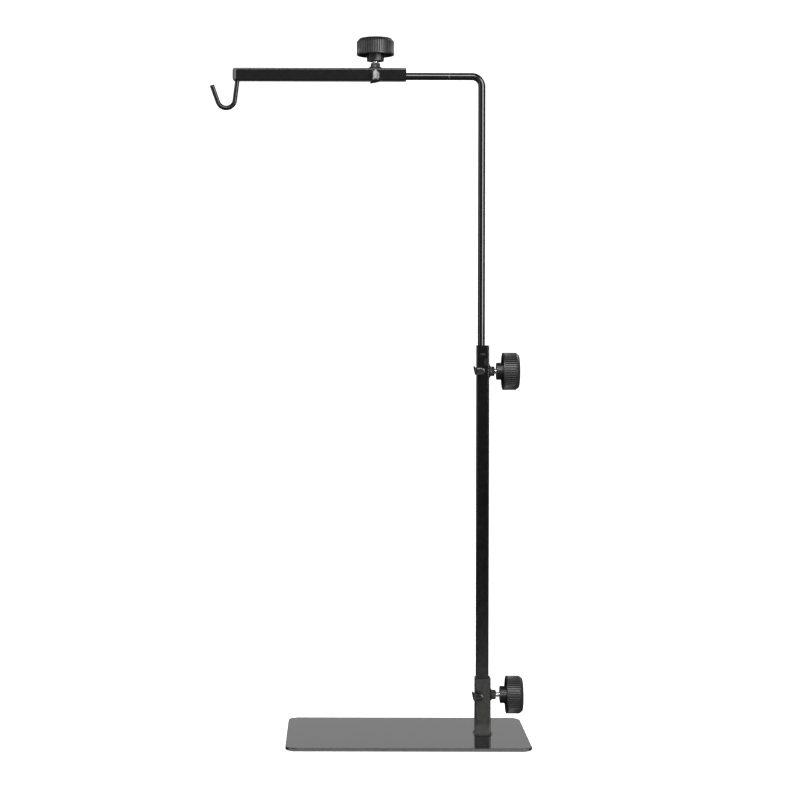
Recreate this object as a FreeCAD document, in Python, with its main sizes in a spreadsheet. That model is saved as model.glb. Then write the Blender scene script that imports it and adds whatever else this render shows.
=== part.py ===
import FreeCAD, Part
import math
import os

import Sketcher
from FreeCAD import Rotation, Vector

# An adjustable stand with a hanging hook. A square post stands in a socket on a steel base plate. A round
# L-shaped rod telescopes out of the post, and a square arm with a wire hook slides on the rod's horizontal
# leg. A knob with a screw clamps each of the three joints. +Z is up, +X is the side of the post that the
# knobs are on, and the arm points to -X. The origin is the middle of the base's underside.

doc = FreeCAD.newDocument("hanger_stand")

# ---------------------------------------------------------------------------------------------------
# Driving dimensions, in millimetres and degrees
# ---------------------------------------------------------------------------------------------------

SIZES = [
    # base
    ("plate_width", 230.0),
    ("plate_depth", 130.0),
    ("plate_thickness", 3.0),
    ("plate_corner", 10.0),
    ("plate_edge_round", 0.6),
    ("sheet_inset", 5.0),
    ("sheet_thickness", 1.0),
    ("socket_side_gap", 42.1),  # plate's right edge to the socket's axis
    ("socket_front_gap", 61.0),  # plate's front edge to the socket's axis
    ("socket_height", 54.0),
    ("socket_wall", 1.0),
    ("socket_corner", 1.6),
    ("socket_play", 0.5),  # per side, round the post
    ("socket_clamp_height", 37.5),
    ("foot_weld_leg", 1.8),
    # post and arm, both of the same square tube
    ("tube_width", 12.0),
    ("tube_wall", 1.0),
    ("tube_corner", 1.5),
    ("tube_inner_corner", 0.6),
    ("post_length", 373.1),
    ("post_clamp_height", 348.2),
    ("arm_length", 163.3),
    ("arm_start", 72.9),  # rod's vertical axis to the arm's near end
    ("arm_clamp_inset", 29.5),  # arm's near end to its clamp
    # rod
    ("rod_diameter", 7.0),
    ("rod_bend_radius", 9.5),
    ("rod_height", 631.4),  # plate's top to the axis of the horizontal leg
    ("rod_overlap", 15.2),  # how far the vertical leg reaches below the post's clamp
    ("rod_reach_length", 118.0),  # rod's vertical axis to the horizontal leg's end
    # clamps: nut, screw and knob
    ("running_gap", 0.05),
    ("nut_flats", 8.0),
    ("nut_height", 5.2),
    ("screw_diameter", 5.0),
    ("hub_gap", 1.9),  # the weld nut to the knob's hub, with the rod clamped
    ("screw_head_depth", 12.5),  # the knob's hub to the underside of the moulded-in head
    ("screw_head_diameter", 8.0),
    ("screw_head_height", 4.0),
    ("wall_hole_gap", 0.25),  # radial, round the screw in a tube's wall
    ("bead_height", 2.2),
    ("bead_side_land", 1.2),  # a tube's side to the weld bead's edge
    ("bead_crown", 1.2),  # the bead's crest stands this far round the nut's flats
    ("socket_bead_length", 14.0),
    ("post_bead_length", 17.0),
    ("arm_bead_length", 20.0),
    ("knob_diameter", 36.0),
    ("knob_length", 16.7),  # rim to the middle of the raised end
    ("knob_chamfer_length", 3.0),
    ("knob_chamfer_depth", 2.5),
    ("knob_rise", 0.9),  # how far the end's flat middle stands above its edge
    ("knob_flat_diameter", 14.0),
    ("knob_wall", 2.6),
    ("knob_recess", 9.0),
    ("hub_diameter", 16.5),
    ("hub_length", 5.7),  # how far the hub stands out of the knob's rim
    # cord clips
    ("clip_width", 6.4),
    ("clip_strip", 0.9),
    ("clip_gap", 6.5),  # room for a cord
    ("clip_bulge", 3.9),  # how far the clip's bend stands out beyond the tube's side
    ("socket_clip_tip", -0.7),  # tube's axis to the clip's free end; each was bent by hand
    ("post_clip_tip", 0.9),
    ("arm_clip_tip", 3.2),
    # arm's end
    ("plug_head", 3.4),
    ("plug_insert", 12.0),
    ("plug_corner", 2.4),
    ("hook_wire", 4.5),
    ("hook_inset", 1.1),  # arm's far end to the hook's axis, at the arm's underside
    ("hook_seat", 9.0),  # length of wire held inside the arm
    ("hook_lean", 7.3),
    ("hook_shank", 19.0),  # straight wire below the arm
    ("hook_bend_radius", 8.3),
    ("hook_turn", 152.7),
    ("hook_tip", 17.4),
]

HORN_SLOPE = 28.0  # degrees, from the cord clip's straight edge up to the horn on its bend

# Places that follow from the driving dimensions
DERIVED = [
    ("plate_top", "sizes.sheet_thickness + sizes.plate_thickness"),
    ("socket_width", "sizes.tube_width + 2 * sizes.socket_play + 2 * sizes.socket_wall"),
    ("socket_half", "socket_width / 2"),
    ("tube_half", "sizes.tube_width / 2"),
    ("tube_bore", "sizes.tube_width - 2 * sizes.tube_wall"),
    ("rod_radius", "sizes.rod_diameter / 2"),
    ("socket_x", "sizes.plate_width / 2 - sizes.socket_side_gap"),
    ("post_y", "sizes.socket_front_gap - sizes.plate_depth / 2"),
    # each clamp pushes what it holds against the far wall of its tube
    ("post_x", "socket_x - sizes.socket_play + sizes.running_gap"),
    ("rod_shift", "tube_bore / 2 - rod_radius - sizes.running_gap"),
    ("rod_x", "post_x - rod_shift"),
    ("rod_z", "plate_top + sizes.rod_height"),
    ("arm_z", "rod_z + rod_shift"),
    ("arm_x", "rod_x - sizes.arm_start"),
    ("arm_end_x", "arm_x - sizes.arm_length"),
    ("socket_clamp_z", "plate_top + sizes.socket_clamp_height"),
    ("post_clamp_z", "plate_top + sizes.post_clamp_height"),
    ("arm_clamp_x", "arm_x - sizes.arm_clamp_inset"),
    ("stem_bottom_z", "post_clamp_z - sizes.rod_overlap"),
    # the knob's hub to the screw's tip, which rests on what it clamps
    ("screw_reach", "tube_half + sizes.nut_height + sizes.hub_gap + rod_shift - rod_radius - sizes.running_gap"),
    ("socket_hub_x", "post_x + tube_half + sizes.running_gap + screw_reach"),
    ("post_hub_x", "rod_x + rod_radius + sizes.running_gap + screw_reach"),
    ("arm_hub_z", "rod_z + rod_radius + sizes.running_gap + screw_reach"),
    ("screw_hole", "sizes.screw_diameter / 2 + sizes.running_gap"),
    ("wall_hole", "sizes.screw_diameter / 2 + sizes.wall_hole_gap"),
    ("nut_corner_radius", "sizes.nut_flats / 2 / cos(30)"),
    ("knob_radius", "sizes.knob_diameter / 2"),
    ("knob_end", "sizes.hub_length + sizes.knob_length"),
    ("knob_web", "sizes.hub_length + sizes.knob_recess"),
    ("head_end", "sizes.screw_head_depth + sizes.screw_head_height"),
    ("clip_bend_radius", "sizes.clip_gap / 2 + sizes.clip_strip"),
    ("clip_horn", f"clip_bend_radius * tan({HORN_SLOPE})"),
    ("hook_top_x", "arm_end_x + sizes.hook_inset + sizes.hook_seat * sin(sizes.hook_lean)"),
    ("hook_top_z", "arm_z - tube_half + sizes.hook_seat * cos(sizes.hook_lean)"),
]

sizes = doc.addObject("Spreadsheet::Sheet", "sizes")
for row, (alias, value) in enumerate(SIZES, start=1):
    sizes.set(f"A{row}", str(value))
    sizes.setAlias(f"A{row}", alias)
doc.recompute()

derived = doc.addObject("Spreadsheet::Sheet", "derived")
for row, (alias, formula) in enumerate(DERIVED, start=1):
    derived.set(f"A{row}", "=" + formula)
    derived.setAlias(f"A{row}", alias)
doc.recompute()

TURNED = Rotation(Vector(0, 1, 0), -90)  # a tube that runs to -X, with its knob side up
UPRIGHT = Rotation()
ALONG_X = Rotation(Vector(0, 1, 0), 90)  # a primitive's Z axis laid along X
ALONG_Y = Rotation(Vector(1, 0, 0), 90)  # a primitive's Z axis laid along -Y
NEAR = 0.001

sub_parts = []


def keep(shape_object, node):
    """Registers a finished sub-part under its node name."""
    shape_object.Label = node
    sub_parts.append(shape_object)
    return shape_object


def bind(shape_object, **expressions):
    for name, expression in expressions.items():
        shape_object.setExpression(name, expression)


def place(shape_object, x="0", y="0", z="0", turn=UPRIGHT):
    """Puts an object at a place given by expressions."""
    shape_object.Placement = FreeCAD.Placement(Vector(), turn)
    for axis, expression in (("x", x), ("y", y), ("z", z)):
        shape_object.setExpression(f"Placement.Base.{axis}", expression)


def primitive(kind, name, x="0", y="0", z="0", turn=UPRIGHT, **expressions):
    solid = doc.addObject(kind, name)
    bind(solid, **expressions)
    place(solid, x, y, z, turn)
    return solid


def cut(name, base, tool):
    """Takes the tool out of the base, and refuses a cut that removes nothing."""
    result = doc.addObject("Part::Cut", name)
    result.Base = base
    result.Tool = tool
    doc.recompute()
    if result.Shape.Volume > base.Shape.Volume - NEAR:
        raise RuntimeError(f"{name}: the cut removes nothing")
    return result


def fuse(name, solids):
    result = doc.addObject("Part::MultiFuse", name)
    result.Shapes = solids
    result.Refine = True
    return result


def new_sketch(body, plane, name):
    """A sketch on one of the body's own origin planes."""
    sketch = body.newObject("Sketcher::SketchObject", name)
    support = [feature for feature in body.Origin.OriginFeatures if feature.Role == plane][0]
    sketch.AttachmentSupport = (support, "")
    sketch.MapMode = "FlatFace"
    return sketch


def name_constraint(sketch, constraint, name, expression):
    index = sketch.addConstraint(constraint)
    sketch.renameConstraint(index, name)
    sketch.setExpression(f"Constraints.{name}", expression)


def draw_rectangle(sketch, width, height):
    """A rectangle centred on the sketch's origin."""
    corners = [Vector(-9, -9), Vector(9, -9), Vector(9, 9), Vector(-9, 9)]
    for number in range(4):
        sketch.addGeometry(Part.LineSegment(corners[number], corners[(number + 1) % 4]))
    for number in range(4):
        sketch.addConstraint(Sketcher.Constraint("Coincident", number, 2, (number + 1) % 4, 1))
    for side in (0, 2):
        sketch.addConstraint(Sketcher.Constraint("Horizontal", side))
    for side in (1, 3):
        sketch.addConstraint(Sketcher.Constraint("Vertical", side))
    sketch.addConstraint(Sketcher.Constraint("Symmetric", 0, 1, 2, 1, -1, 1))
    name_constraint(sketch, Sketcher.Constraint("DistanceX", 0, 1, 0, 2, 18), "width", width)
    name_constraint(sketch, Sketcher.Constraint("DistanceY", 1, 1, 1, 2, 18), "height", height)


def draw_outline(sketch, corners):
    """A closed outline. Each corner is a pair of expressions; "0" puts it on that axis."""
    count = len(corners)
    points = []
    for number, corner in enumerate(corners):
        # the starting shape is the real one, so the solver has nothing to untangle
        points.append(Vector(*[sketch.evalExpression(expression) for expression in corner]))
    for number in range(count):
        sketch.addGeometry(Part.LineSegment(points[number], points[(number + 1) % count]))
    for number in range(count):
        sketch.addConstraint(Sketcher.Constraint("Coincident", number, 2, (number + 1) % count, 1))
    for number, (across, along) in enumerate(corners):
        for kind, letter, axis, expression in (
            ("DistanceX", "x", -2, across),
            ("DistanceY", "y", -1, along),
        ):
            if expression == "0":
                sketch.addConstraint(Sketcher.Constraint("PointOnObject", number, 1, axis))
                continue
            size = points[number][0 if letter == "x" else 1]
            rule = Sketcher.Constraint(kind, -1, 1, number, 1, size)
            name_constraint(sketch, rule, f"corner{number}{letter}", expression)


def pad(body, sketch, name, length):
    feature = body.newObject("PartDesign::Pad", name)
    feature.Profile = sketch
    bind(feature, Length=length)
    doc.recompute()
    return feature


def pocket(body, sketch, name, length):
    """A pocket on the side that the sketch's plane faces."""
    before = body.Shape.Volume
    feature = body.newObject("PartDesign::Pocket", name)
    feature.Profile = sketch
    feature.Reversed = True
    bind(feature, Length=length)
    doc.recompute()
    if body.Shape.Volume > before - NEAR:
        raise RuntimeError(f"{body.Name}.{name}: the pocket removes nothing")
    return feature


def dress(body, kind, name, chosen, **expressions):
    """A fillet or chamfer on the body's edges that the test chooses."""
    base = body.Tip
    names = [f"Edge{i}" for i, edge in enumerate(base.Shape.Edges, start=1) if chosen(edge)]
    if not names:
        raise RuntimeError(f"{body.Name}.{name}: no edge fits")
    feature = body.newObject(kind, name)
    feature.Base = (base, names)
    bind(feature, **expressions)
    doc.recompute()
    return feature


def is_upright(edge):
    low, high = edge.BoundBox.ZMin, edge.BoundBox.ZMax
    return high - low > NEAR and edge.BoundBox.XLength < NEAR and edge.BoundBox.YLength < NEAR


def is_square_corner(edge):
    """An upright edge at the corner of a square centred on the axis."""
    return is_upright(edge) and abs(abs(edge.BoundBox.XMin) - abs(edge.BoundBox.YMin)) < NEAR


def is_level(edge, height):
    return abs(edge.BoundBox.ZMin - height) < NEAR and abs(edge.BoundBox.ZMax - height) < NEAR


# ---------------------------------------------------------------------------------------------------
# Base
# ---------------------------------------------------------------------------------------------------


def rounded_slab(node, width, depth, thickness, corner):
    body = doc.addObject("PartDesign::Body", node)
    sketch = new_sketch(body, "XY_Plane", node + "_outline")
    draw_rectangle(sketch, width, depth)
    pad(body, sketch, node + "_pad", thickness)
    dress(body, "PartDesign::Fillet", node + "_corners", is_upright, Radius=corner)
    return body


def make_base_plate():
    body = rounded_slab(
        "base_plate",
        "sizes.plate_width",
        "sizes.plate_depth",
        "sizes.plate_thickness",
        "sizes.plate_corner",
    )
    thickness = sizes.plate_thickness
    dress(
        body,
        "PartDesign::Fillet",
        "plate_rim",
        lambda edge: is_level(edge, 0) or is_level(edge, thickness),
        Radius="sizes.plate_edge_round",
    )
    place(body, z="sizes.sheet_thickness")
    keep(body, "base_plate")


def make_anti_slip_sheet():
    body = rounded_slab(
        "anti_slip_sheet",
        "sizes.plate_width - 2 * sizes.sheet_inset",
        "sizes.plate_depth - 2 * sizes.sheet_inset",
        "sizes.sheet_thickness",
        "sizes.plate_corner - sizes.sheet_inset / 2",
    )
    keep(body, "anti_slip_sheet")


def make_foot_weld():
    """The fillet weld round the socket's foot, sloping from the plate up to the socket's sides."""
    width = "derived.socket_width + 2 * sizes.foot_weld_leg"
    corner = "sizes.socket_corner + sizes.foot_weld_leg"
    blank = rounded_slab("foot_weld_blank", width, width, "sizes.foot_weld_leg", corner)
    leg = sizes.foot_weld_leg
    slope = "sizes.foot_weld_leg * 0.85"
    dress(blank, "PartDesign::Chamfer", "foot_weld_slope", lambda edge: is_level(edge, leg), Size=slope)
    width = "derived.socket_width"
    height = "sizes.foot_weld_leg * 2"
    space = rounded_slab("foot_weld_space", width, width, height, "sizes.socket_corner")
    weld = cut("socket_foot_weld", blank, space)
    place(weld, "derived.socket_x", "derived.post_y", "derived.plate_top")
    keep(weld, "socket_foot_weld")


# ---------------------------------------------------------------------------------------------------
# Square tubes
# ---------------------------------------------------------------------------------------------------


def square_tube(name, width, wall, length, corner, inner_corner, clamp_height):
    """A square tube along +Z from its own origin, with the clamp's hole in its +X wall."""
    body = doc.addObject("PartDesign::Body", name)
    outside = new_sketch(body, "XY_Plane", name + "_outside")
    draw_rectangle(outside, width, width)
    pad(body, outside, name + "_pad", length)
    dress(body, "PartDesign::Fillet", name + "_corners", is_upright, Radius=corner)
    inside = new_sketch(body, "XY_Plane", name + "_inside")
    bore = f"{width} - 2 * {wall}"
    draw_rectangle(inside, bore, bore)
    pocket(body, inside, name + "_bore", f"{length} * 2")
    dress(body, "PartDesign::Fillet", name + "_inner_corners", is_square_corner, Radius=inner_corner)

    hole = new_sketch(body, "YZ_Plane", name + "_clamp_circle")
    hole.addGeometry(Part.Circle(Vector(0, 9, 0), Vector(0, 0, 1), 2.5))
    hole.addConstraint(Sketcher.Constraint("PointOnObject", 0, 3, -2))
    name_constraint(hole, Sketcher.Constraint("Radius", 0, 2.5), "radius", "derived.wall_hole")
    rule = Sketcher.Constraint("DistanceY", -1, 1, 0, 3, 9)
    name_constraint(hole, rule, "height", clamp_height)
    pocket(body, hole, name + "_clamp_hole", width)
    return body


def make_socket():
    body = square_tube(
        "base_socket",
        "derived.socket_width",
        "sizes.socket_wall",
        "sizes.socket_height",
        "sizes.socket_corner",
        "sizes.tube_inner_corner",
        "sizes.socket_clamp_height",
    )
    place(body, "derived.socket_x", "derived.post_y", "derived.plate_top")
    keep(body, "base_socket")


def make_post():
    body = square_tube(
        "post_tube",
        "sizes.tube_width",
        "sizes.tube_wall",
        "sizes.post_length",
        "sizes.tube_corner",
        "sizes.tube_inner_corner",
        "sizes.post_clamp_height",
    )
    place(body, "derived.post_x", "derived.post_y", "derived.plate_top")
    keep(body, "post_tube")


def hook_bore(name):
    """The slanted hole that holds the hook's shank."""
    bore = primitive(
        "Part::Cylinder",
        name,
        "derived.hook_top_x",
        "derived.post_y",
        "derived.hook_top_z",
        Radius="sizes.hook_wire / 2 + sizes.running_gap",
        Height="sizes.hook_seat * 2",
    )
    lean_from_top(bore)
    return bore


def lean_from_top(shape_object):
    """Points an object's Z axis down the hook's shank."""
    shape_object.Placement.Rotation.Axis = Vector(0, 1, 0)
    shape_object.setExpression("Placement.Rotation.Angle", "180 + sizes.hook_lean")


def make_arm():
    body = square_tube(
        "arm_blank",
        "sizes.tube_width",
        "sizes.tube_wall",
        "sizes.arm_length",
        "sizes.tube_corner",
        "sizes.tube_inner_corner",
        "sizes.arm_clamp_inset",
    )
    place(body, "derived.arm_x", "derived.post_y", "derived.arm_z", TURNED)
    keep(cut("arm_tube", body, hook_bore("arm_hook_bore")), "arm_tube")


def make_end_plug():
    """A cap on the arm's far end, with a square shank inside the tube that grips the hook."""
    head = doc.addObject("PartDesign::Body", "plug_blank")
    outline = new_sketch(head, "XY_Plane", "plug_head_outline")
    draw_rectangle(outline, "sizes.tube_width", "sizes.tube_width")
    pad(head, outline, "plug_head_pad", "sizes.plug_head")
    dress(head, "PartDesign::Fillet", "plug_sides", is_upright, Radius="sizes.tube_corner")
    far = sizes.plug_head
    half = derived.tube_half
    dress(
        head,
        "PartDesign::Fillet",
        "plug_lower_edge",
        lambda edge: is_level(edge, far) and edge.BoundBox.XMax < -half + NEAR,
        Radius="sizes.plug_corner",
    )
    place(head, "derived.arm_end_x", "derived.post_y", "derived.arm_z", TURNED)
    side = "derived.tube_bore - 2 * sizes.running_gap"
    insert = primitive(
        "Part::Box",
        "plug_shank",
        "derived.arm_end_x",
        f"derived.post_y - ({side}) / 2",
        f"derived.arm_z - ({side}) / 2",
        Length="sizes.plug_insert",
        Width=side,
        Height=side,
    )
    corner_post = doc.addObject("Part::Fillet", "plug_shank_rounded")
    corner_post.Base = insert
    doc.recompute()
    radius = sizes.tube_inner_corner
    corner_post.Edges = [
        (number, radius, radius)
        for number, edge in enumerate(insert.Shape.Edges, start=1)
        if edge.BoundBox.XLength > NEAR
    ]
    whole = fuse("plug_whole", [head, corner_post])
    keep(cut("arm_end_plug", whole, hook_bore("plug_hook_bore")), "arm_end_plug")


# ---------------------------------------------------------------------------------------------------
# Round rod, in its two legs and bend
# ---------------------------------------------------------------------------------------------------


def make_rod():
    stem = primitive(
        "Part::Cylinder",
        "rod_stem",
        "derived.rod_x",
        "derived.post_y",
        "derived.stem_bottom_z",
        Radius="derived.rod_radius",
        Height="derived.rod_z - sizes.rod_bend_radius - derived.stem_bottom_z",
    )
    keep(stem, "rod_stem")
    elbow = primitive(
        "Part::Torus",
        "rod_elbow",
        "derived.rod_x - sizes.rod_bend_radius",
        "derived.post_y",
        "derived.rod_z - sizes.rod_bend_radius",
        Rotation(Vector(1, 0, 0), 90),
        Radius1="sizes.rod_bend_radius",
        Radius2="derived.rod_radius",
    )
    elbow.Angle3 = 90
    keep(elbow, "rod_elbow")
    reach = primitive(
        "Part::Cylinder",
        "rod_reach",
        "derived.rod_x - sizes.rod_reach_length",
        "derived.post_y",
        "derived.rod_z",
        ALONG_X,
        Radius="derived.rod_radius",
        Height="sizes.rod_reach_length - sizes.rod_bend_radius",
    )
    keep(reach, "rod_reach")


def make_hook():
    """The wire hook: a leaning shank, a bend, and a straight tip."""
    body = doc.addObject("PartDesign::Body", "hook")
    section = new_sketch(body, "XY_Plane", "hook_section")
    section.addGeometry(Part.Circle(Vector(), Vector(0, 0, 1), 2))
    section.addConstraint(Sketcher.Constraint("Coincident", 0, 3, -1, 1))
    rule = Sketcher.Constraint("Diameter", 0, 4)
    name_constraint(section, rule, "wire", "sizes.hook_wire")

    length = sizes.hook_seat + sizes.hook_shank
    radius = sizes.hook_bend_radius
    turn = math.radians(sizes.hook_turn)
    tip = sizes.hook_tip
    bend_end = Vector(radius - radius * math.cos(turn), length + radius * math.sin(turn))
    heading = Vector(math.sin(turn), math.cos(turn))
    path = new_sketch(body, "XZ_Plane", "hook_path")
    path.addGeometry(Part.LineSegment(Vector(), Vector(0, length)))
    centre = Vector(radius, length)
    bend = Part.Circle(centre, Vector(0, 0, 1), radius)
    path.addGeometry(Part.ArcOfCircle(bend, math.pi - turn, math.pi))
    path.addGeometry(Part.LineSegment(bend_end, bend_end + heading * tip))
    path.addConstraint(Sketcher.Constraint("Coincident", 0, 1, -1, 1))
    path.addConstraint(Sketcher.Constraint("Vertical", 0))
    path.addConstraint(Sketcher.Constraint("Tangent", 0, 2, 1, 2))
    path.addConstraint(Sketcher.Constraint("Tangent", 1, 1, 2, 1))
    rule = Sketcher.Constraint("DistanceY", 0, 1, 0, 2, length)
    name_constraint(path, rule, "shank", "sizes.hook_seat + sizes.hook_shank")
    rule = Sketcher.Constraint("Radius", 1, radius)
    name_constraint(path, rule, "bend", "sizes.hook_bend_radius")
    rule = Sketcher.Constraint("Distance", 2, tip)
    name_constraint(path, rule, "tip", "sizes.hook_tip")
    rule = Sketcher.Constraint("DistanceY", 0, 2, 1, 1, bend_end.y - length)
    name_constraint(path, rule, "turn", "sizes.hook_bend_radius * sin(sizes.hook_turn)")

    wire = body.newObject("PartDesign::AdditivePipe", "hook_pipe")
    wire.Profile = section
    wire.Spine = (path, ["Edge1", "Edge2", "Edge3"])
    place(body, "derived.hook_top_x", "derived.post_y", "derived.hook_top_z")
    lean_from_top(body)
    keep(body, "hook")


# ---------------------------------------------------------------------------------------------------
# Clamps. Each piece is drawn with its tube's axis on Z, the screw along +X and the front at -Y
# ---------------------------------------------------------------------------------------------------


def hexagon(name, half, extra="0"):
    """A hexagonal prism standing on the tube's +X side."""
    prism = primitive(
        "Part::Prism",
        name,
        x=half,
        turn=ALONG_X,
        Circumradius=f"derived.nut_corner_radius + {extra}",
        Height="sizes.nut_height",
    )
    prism.Polygon = 6
    return prism


def make_weld_nut(clamp, half, where, turn):
    blank = hexagon(clamp + "_nut_blank", half)
    crown = primitive(
        "Part::Cone",
        clamp + "_nut_crown",
        x=half,
        turn=ALONG_X,
        Radius1="sizes.nut_flats / 2 + sizes.nut_height * tan(60)",
        Radius2="sizes.nut_flats / 2",
        Height="sizes.nut_height",
    )
    chamfered = doc.addObject("Part::Common", clamp + "_nut_chamfered")
    chamfered.Base = blank
    chamfered.Tool = crown
    bore = primitive(
        "Part::Cylinder",
        clamp + "_nut_bore",
        turn=ALONG_X,
        Radius="derived.screw_hole",
        Height=f"{half} + sizes.nut_height * 2",
    )
    nut = cut(clamp + "_weld_nut", chamfered, bore)
    place(nut, *where, turn)
    keep(nut, clamp + "_weld_nut")


def make_nut_weld(clamp, half, where, turn):
    """The weld bead that runs out along the tube from the nut."""
    length = f"sizes.{clamp}_bead_length"
    width = f"({half} - sizes.bead_side_land)"
    crest = "(sizes.nut_flats / 2 + sizes.bead_crown)"
    bead = primitive(
        "Part::Wedge",
        clamp + "_bead_blank",
        x=half,
        turn=Rotation(Vector(0, 0, 1), -90),
        Xmin=f"-{width}",
        Xmax=width,
        X2min=f"-min({width}; {crest})",
        X2max=f"min({width}; {crest})",
        Ymin="0",
        Ymax="sizes.bead_height",
        Zmin=f"-{length} / 2",
        Zmax=f"{length} / 2",
        Z2min=f"-{crest}",
        Z2max=crest,
    )
    weld = cut(clamp + "_nut_weld", bead, hexagon(clamp + "_nut_space", half))
    place(weld, *where, turn)
    keep(weld, clamp + "_nut_weld")


def make_cord_clip(clamp, half, where, turn):
    """A strip bent back on itself: a foot on the tube's front, a horned bend and a round-ended free leg."""
    bend_x = f"(sizes.clip_bulge * -1 - {half} + derived.clip_bend_radius)"
    foot_y = f"(-{half} - sizes.clip_strip)"
    bend_y = f"({foot_y} - sizes.clip_gap / 2)"
    leg_y = f"({bend_y} - derived.clip_bend_radius)"
    low = "-sizes.clip_width / 2"
    tip_x = f"sizes.{clamp}_clip_tip"
    foot = primitive(
        "Part::Box",
        clamp + "_clip_foot",
        bend_x,
        foot_y,
        low,
        Length=f"{tip_x} - {bend_x}",
        Width="sizes.clip_strip",
        Height="sizes.clip_width",
    )
    outer = primitive(
        "Part::Cylinder",
        clamp + "_clip_bend_outside",
        bend_x,
        bend_y,
        low,
        Rotation(Vector(0, 0, 1), 90),
        Radius="derived.clip_bend_radius",
        Height="sizes.clip_width + derived.clip_horn",
    )
    outer.Angle = 180
    inner = primitive(
        "Part::Cylinder",
        clamp + "_clip_bend_inside",
        bend_x,
        bend_y,
        low,
        Radius="sizes.clip_gap / 2",
        Height="sizes.clip_width + derived.clip_horn",
    )
    blank = cut(clamp + "_clip_bend_blank", outer, inner)
    slope = primitive(
        "Part::Box",
        clamp + "_clip_horn_slope",
        f"{bend_x} - derived.clip_bend_radius",
        f"{bend_y} - derived.clip_bend_radius",
        "sizes.clip_width / 2 + derived.clip_horn",
        Rotation(Vector(0, 1, 0), HORN_SLOPE),
        Length="derived.clip_bend_radius * 2",
        Width="derived.clip_bend_radius * 2",
        Height="derived.clip_horn",
    )
    bend = cut(clamp + "_clip_bend", blank, slope)
    leg = primitive(
        "Part::Box",
        clamp + "_clip_leg",
        bend_x,
        leg_y,
        low,
        Length=f"{tip_x} - sizes.clip_width / 2 - {bend_x}",
        Width="sizes.clip_strip",
        Height="sizes.clip_width",
    )
    tip = primitive(
        "Part::Cylinder",
        clamp + "_clip_tip",
        f"{tip_x} - sizes.clip_width / 2",
        f"{leg_y} + sizes.clip_strip",
        "0",
        ALONG_Y,
        Radius="sizes.clip_width / 2",
        Height="sizes.clip_strip",
    )
    clip = fuse(clamp + "_cord_clip", [foot, bend, leg, tip])
    place(clip, *where, turn)
    keep(clip, clamp + "_cord_clip")


def turned_piece(node, corners, hub, turn):
    """A solid of revolution about +X from the knob's hub, drawn by its half outline."""
    body = doc.addObject("PartDesign::Body", node)
    sketch = new_sketch(body, "XZ_Plane", node + "_profile")
    draw_outline(sketch, corners)
    solid = body.newObject("PartDesign::Revolution", node + "_turned")
    solid.Profile = sketch
    solid.ReferenceAxis = (sketch, ["H_Axis"])
    solid.Angle = 360
    place(body, *hub, turn)
    keep(body, node)


def make_clamp_screw(clamp, hub, turn):
    """The screw, with the round head that the knob is moulded over."""
    shank = "sizes.screw_diameter / 2"
    head = "sizes.screw_head_diameter / 2"
    corners = [
        ("-derived.screw_reach", "0"),
        ("derived.head_end", "0"),
        ("derived.head_end", head),
        ("sizes.screw_head_depth", head),
        ("sizes.screw_head_depth", shank),
        ("-derived.screw_reach", shank),
    ]
    turned_piece(clamp + "_clamp_screw", corners, hub, turn)


def make_knob(clamp, hub, turn):
    """A hollow knob: a hub inside a skirt, joined by the end wall, with a cavity for the screw's head."""
    gap = "sizes.running_gap"
    head = f"(sizes.screw_head_diameter / 2 + {gap})"
    hub_radius = "sizes.hub_diameter / 2"
    skirt_inside = "(derived.knob_radius - sizes.knob_wall)"
    edge_x = "(derived.knob_end - sizes.knob_rise)"
    chamfer_x = f"({edge_x} - sizes.knob_chamfer_length)"
    chamfer_radius = "(derived.knob_radius - sizes.knob_chamfer_depth)"
    corners = [
        ("0", "derived.screw_hole"),
        ("0", hub_radius),
        ("derived.knob_web", hub_radius),
        ("derived.knob_web", skirt_inside),
        ("sizes.hub_length", skirt_inside),
        ("sizes.hub_length", "derived.knob_radius"),
        (chamfer_x, "derived.knob_radius"),
        (edge_x, chamfer_radius),
        ("derived.knob_end", "sizes.knob_flat_diameter / 2"),
        ("derived.knob_end", "0"),
        (f"derived.head_end + {gap}", "0"),
        (f"derived.head_end + {gap}", head),
        (f"sizes.screw_head_depth - {gap}", head),
        (f"sizes.screw_head_depth - {gap}", "derived.screw_hole"),
    ]
    turned_piece(clamp + "_knob", corners, hub, turn)


def make_clamps():
    y = "derived.post_y"
    clamps = [
        (
            "socket",
            "derived.socket_half",
            ("derived.socket_x", y, "derived.socket_clamp_z"),
            ("derived.socket_hub_x", y, "derived.socket_clamp_z"),
            UPRIGHT,
        ),
        (
            "post",
            "derived.tube_half",
            ("derived.post_x", y, "derived.post_clamp_z"),
            ("derived.post_hub_x", y, "derived.post_clamp_z"),
            UPRIGHT,
        ),
        (
            "arm",
            "derived.tube_half",
            ("derived.arm_clamp_x", y, "derived.arm_z"),
            ("derived.arm_clamp_x", y, "derived.arm_hub_z"),
            TURNED,
        ),
    ]
    for clamp, half, where, hub, turn in clamps:
        make_weld_nut(clamp, half, where, turn)
        make_nut_weld(clamp, half, where, turn)
        make_cord_clip(clamp, half, where, turn)
        make_clamp_screw(clamp, hub, turn)
        make_knob(clamp, hub, turn)


# ---------------------------------------------------------------------------------------------------
# Build, check and write
# ---------------------------------------------------------------------------------------------------

make_base_plate()
make_anti_slip_sheet()
make_socket()
make_foot_weld()
make_post()
make_rod()
make_arm()
make_end_plug()
make_hook()
make_clamps()
doc.recompute()

for item in doc.Objects:
    if "Invalid" in item.State or "Error" in item.State:
        raise RuntimeError(f"{item.Name} failed: {item.State}")

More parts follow.
